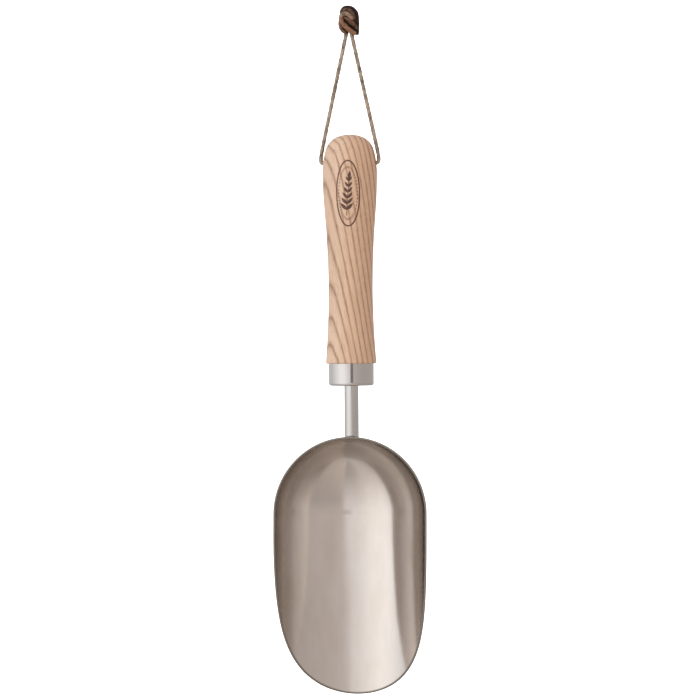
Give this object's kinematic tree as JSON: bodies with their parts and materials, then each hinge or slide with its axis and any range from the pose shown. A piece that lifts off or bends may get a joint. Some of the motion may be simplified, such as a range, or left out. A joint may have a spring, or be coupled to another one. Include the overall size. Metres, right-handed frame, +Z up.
{
  "type": "hand compost scoop",
  "caption": "Deep round-heeled steel hand scoop with a lip cut back along an arc, a turned wooden handle, a ferrule, and a knotted leather hanging loop.",
  "frame": {"origin": "hanging point: the top of the loop's inside, just under the knot, where a nail or hook holds the scoop", "axes": "+Z up along the handle, neck and tang; +X to the right; -Y towards a person who looks into the scoop's hollow"},
  "size_m": [0.0898, 0.0413, 0.4053],
  "materials": {
    "satin_steel": "satin stainless steel",
    "rod_steel": "polished stainless steel rod",
    "weld_steel": "cleaned weld bead",
    "ferrule_steel": "polished stainless steel",
    "ash": "oiled turned ash",
    "epoxy": "cured epoxy adhesive",
    "leather": "waxed dark brown leather"
  },
  "bodies": {
    "hanging_loop": {"leather_thong": "leather", "thong_knot": "leather"},
    "scoop": {"scoop_bowl": "satin_steel", "neck_rod": "rod_steel", "weld_bead": "weld_steel", "ferrule": "ferrule_steel", "handle": "ash", "tang_adhesive": "epoxy"}
  },
  "joints": [
    {"name": "scoop_swing", "type": "hinge", "parent": "hanging_loop", "child": "scoop", "pos_m": [0, 0, -0.0749], "axis": [1, 0, 0], "range_deg": [-120, 120]}
  ]
}
